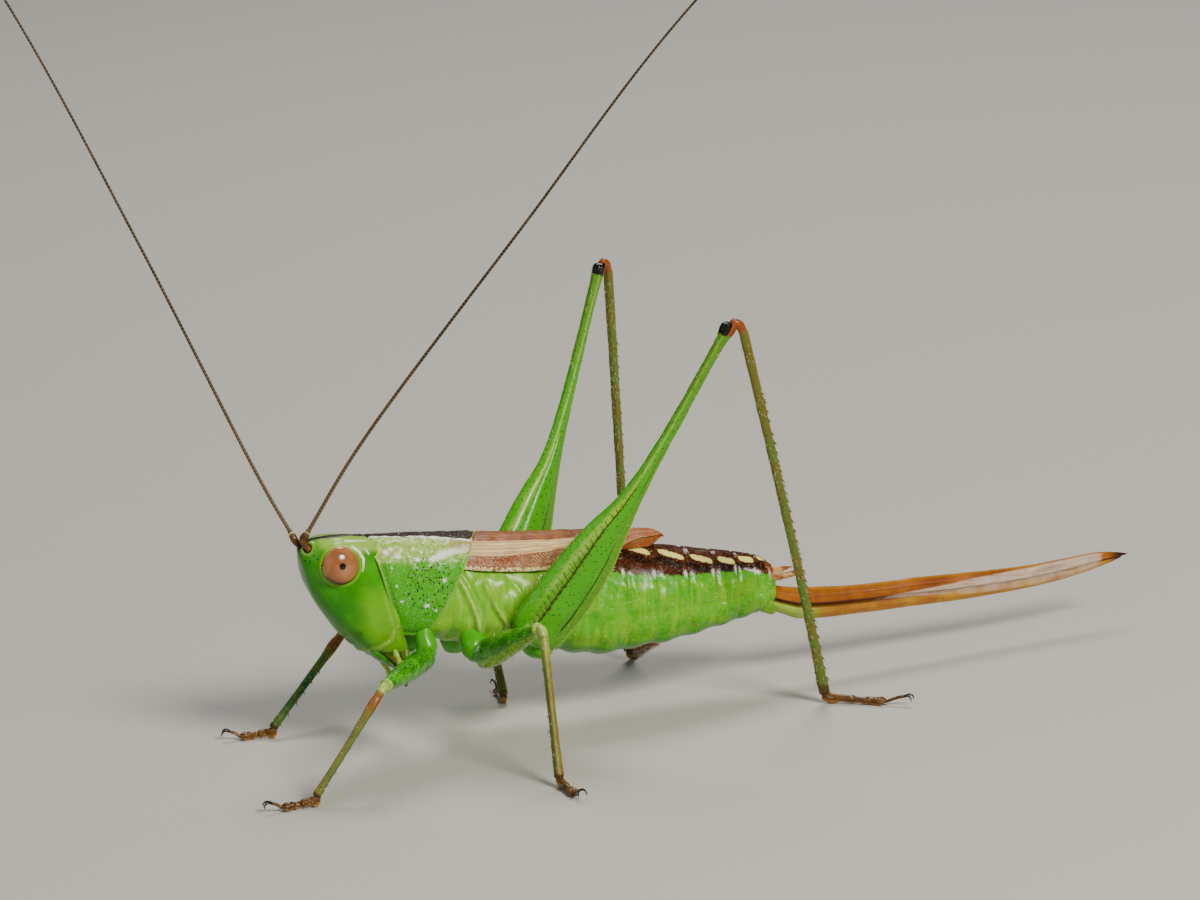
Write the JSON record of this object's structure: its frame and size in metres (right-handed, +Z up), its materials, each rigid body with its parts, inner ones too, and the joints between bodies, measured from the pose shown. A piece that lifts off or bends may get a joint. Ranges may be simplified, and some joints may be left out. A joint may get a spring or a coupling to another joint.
{
  "type": "long horned grasshopper",
  "caption": "Life-size still model of a female short-winged meadow katydid, standing, with thread-like feelers, leaping hind legs and a long blade-like egg layer.",
  "frame": {"origin": "middle of the outline's footprint, on the floor that the six feet stand on", "axes": "+Z up; the head points to -X and the egg layer to +X; the animal's left side faces -Y"},
  "size_m": [0.0448, 0.0286, 0.0412],
  "materials": {
    "green_cuticle": "smooth waxy leaf-green insect cuticle",
    "shin_cuticle": "olive green cuticle with dark spines",
    "foot_cuticle": "glossy brown cuticle",
    "eye": "salmon-brown eye of very fine facets",
    "mouth_parts": "pale green cuticle with brown tips",
    "feeler_cuticle": "dark brown finely ringed cuticle",
    "wing_cover": "tan veined leathery wing cover",
    "egg_layer": "polished orange-brown cuticle",
    "cercus": "tan bristly cuticle"
  },
  "bodies": {
    "root": {"head": "green_cuticle", "pronotum": "green_cuticle", "thorax": "green_cuticle", "abdomen_front": "green_cuticle", "abdomen_middle": "green_cuticle", "abdomen_rear": "green_cuticle", "epiproct": "green_cuticle", "subgenital_plate": "green_cuticle", "coxa_front_left": "green_cuticle", "coxa_front_right": "green_cuticle", "coxa_middle_left": "green_cuticle", "coxa_middle_right": "green_cuticle", "coxa_hind_left": "green_cuticle", "coxa_hind_right": "green_cuticle", "femur_front_left": "green_cuticle", "femur_front_right": "green_cuticle", "femur_middle_left": "green_cuticle", "femur_middle_right": "green_cuticle", "femur_hind_left": "green_cuticle", "femur_hind_right": "green_cuticle", "tibia_front_left": "shin_cuticle", "tibia_front_right": "shin_cuticle", "tibia_middle_left": "shin_cuticle", "tibia_middle_right": "shin_cuticle", "tibia_hind_left": "shin_cuticle", "tibia_hind_right": "shin_cuticle", "tarsus_front_left": "foot_cuticle", "tarsus_front_right": "foot_cuticle", "tarsus_middle_left": "foot_cuticle", "tarsus_middle_right": "foot_cuticle", "tarsus_hind_left": "foot_cuticle", "tarsus_hind_right": "foot_cuticle", "eye_left": "eye", "eye_right": "eye", "labrum": "mouth_parts", "mandible_left": "mouth_parts", "mandible_right": "mouth_parts", "palp_upper_left": "mouth_parts", "palp_upper_right": "mouth_parts", "palp_lower_left": "mouth_parts", "palp_lower_right": "mouth_parts", "scape_left": "feeler_cuticle", "scape_right": "feeler_cuticle", "feeler_left_1": "feeler_cuticle", "feeler_left_2": "feeler_cuticle", "feeler_left_3": "feeler_cuticle", "feeler_right_1": "feeler_cuticle", "feeler_right_2": "feeler_cuticle", "feeler_right_3": "feeler_cuticle", "tegmen_left": "wing_cover", "tegmen_right": "wing_cover", "ovipositor_upper": "egg_layer", "ovipositor_lower": "egg_layer", "cercus_left": "cercus", "cercus_right": "cercus"}
  },
  "joints": []
}
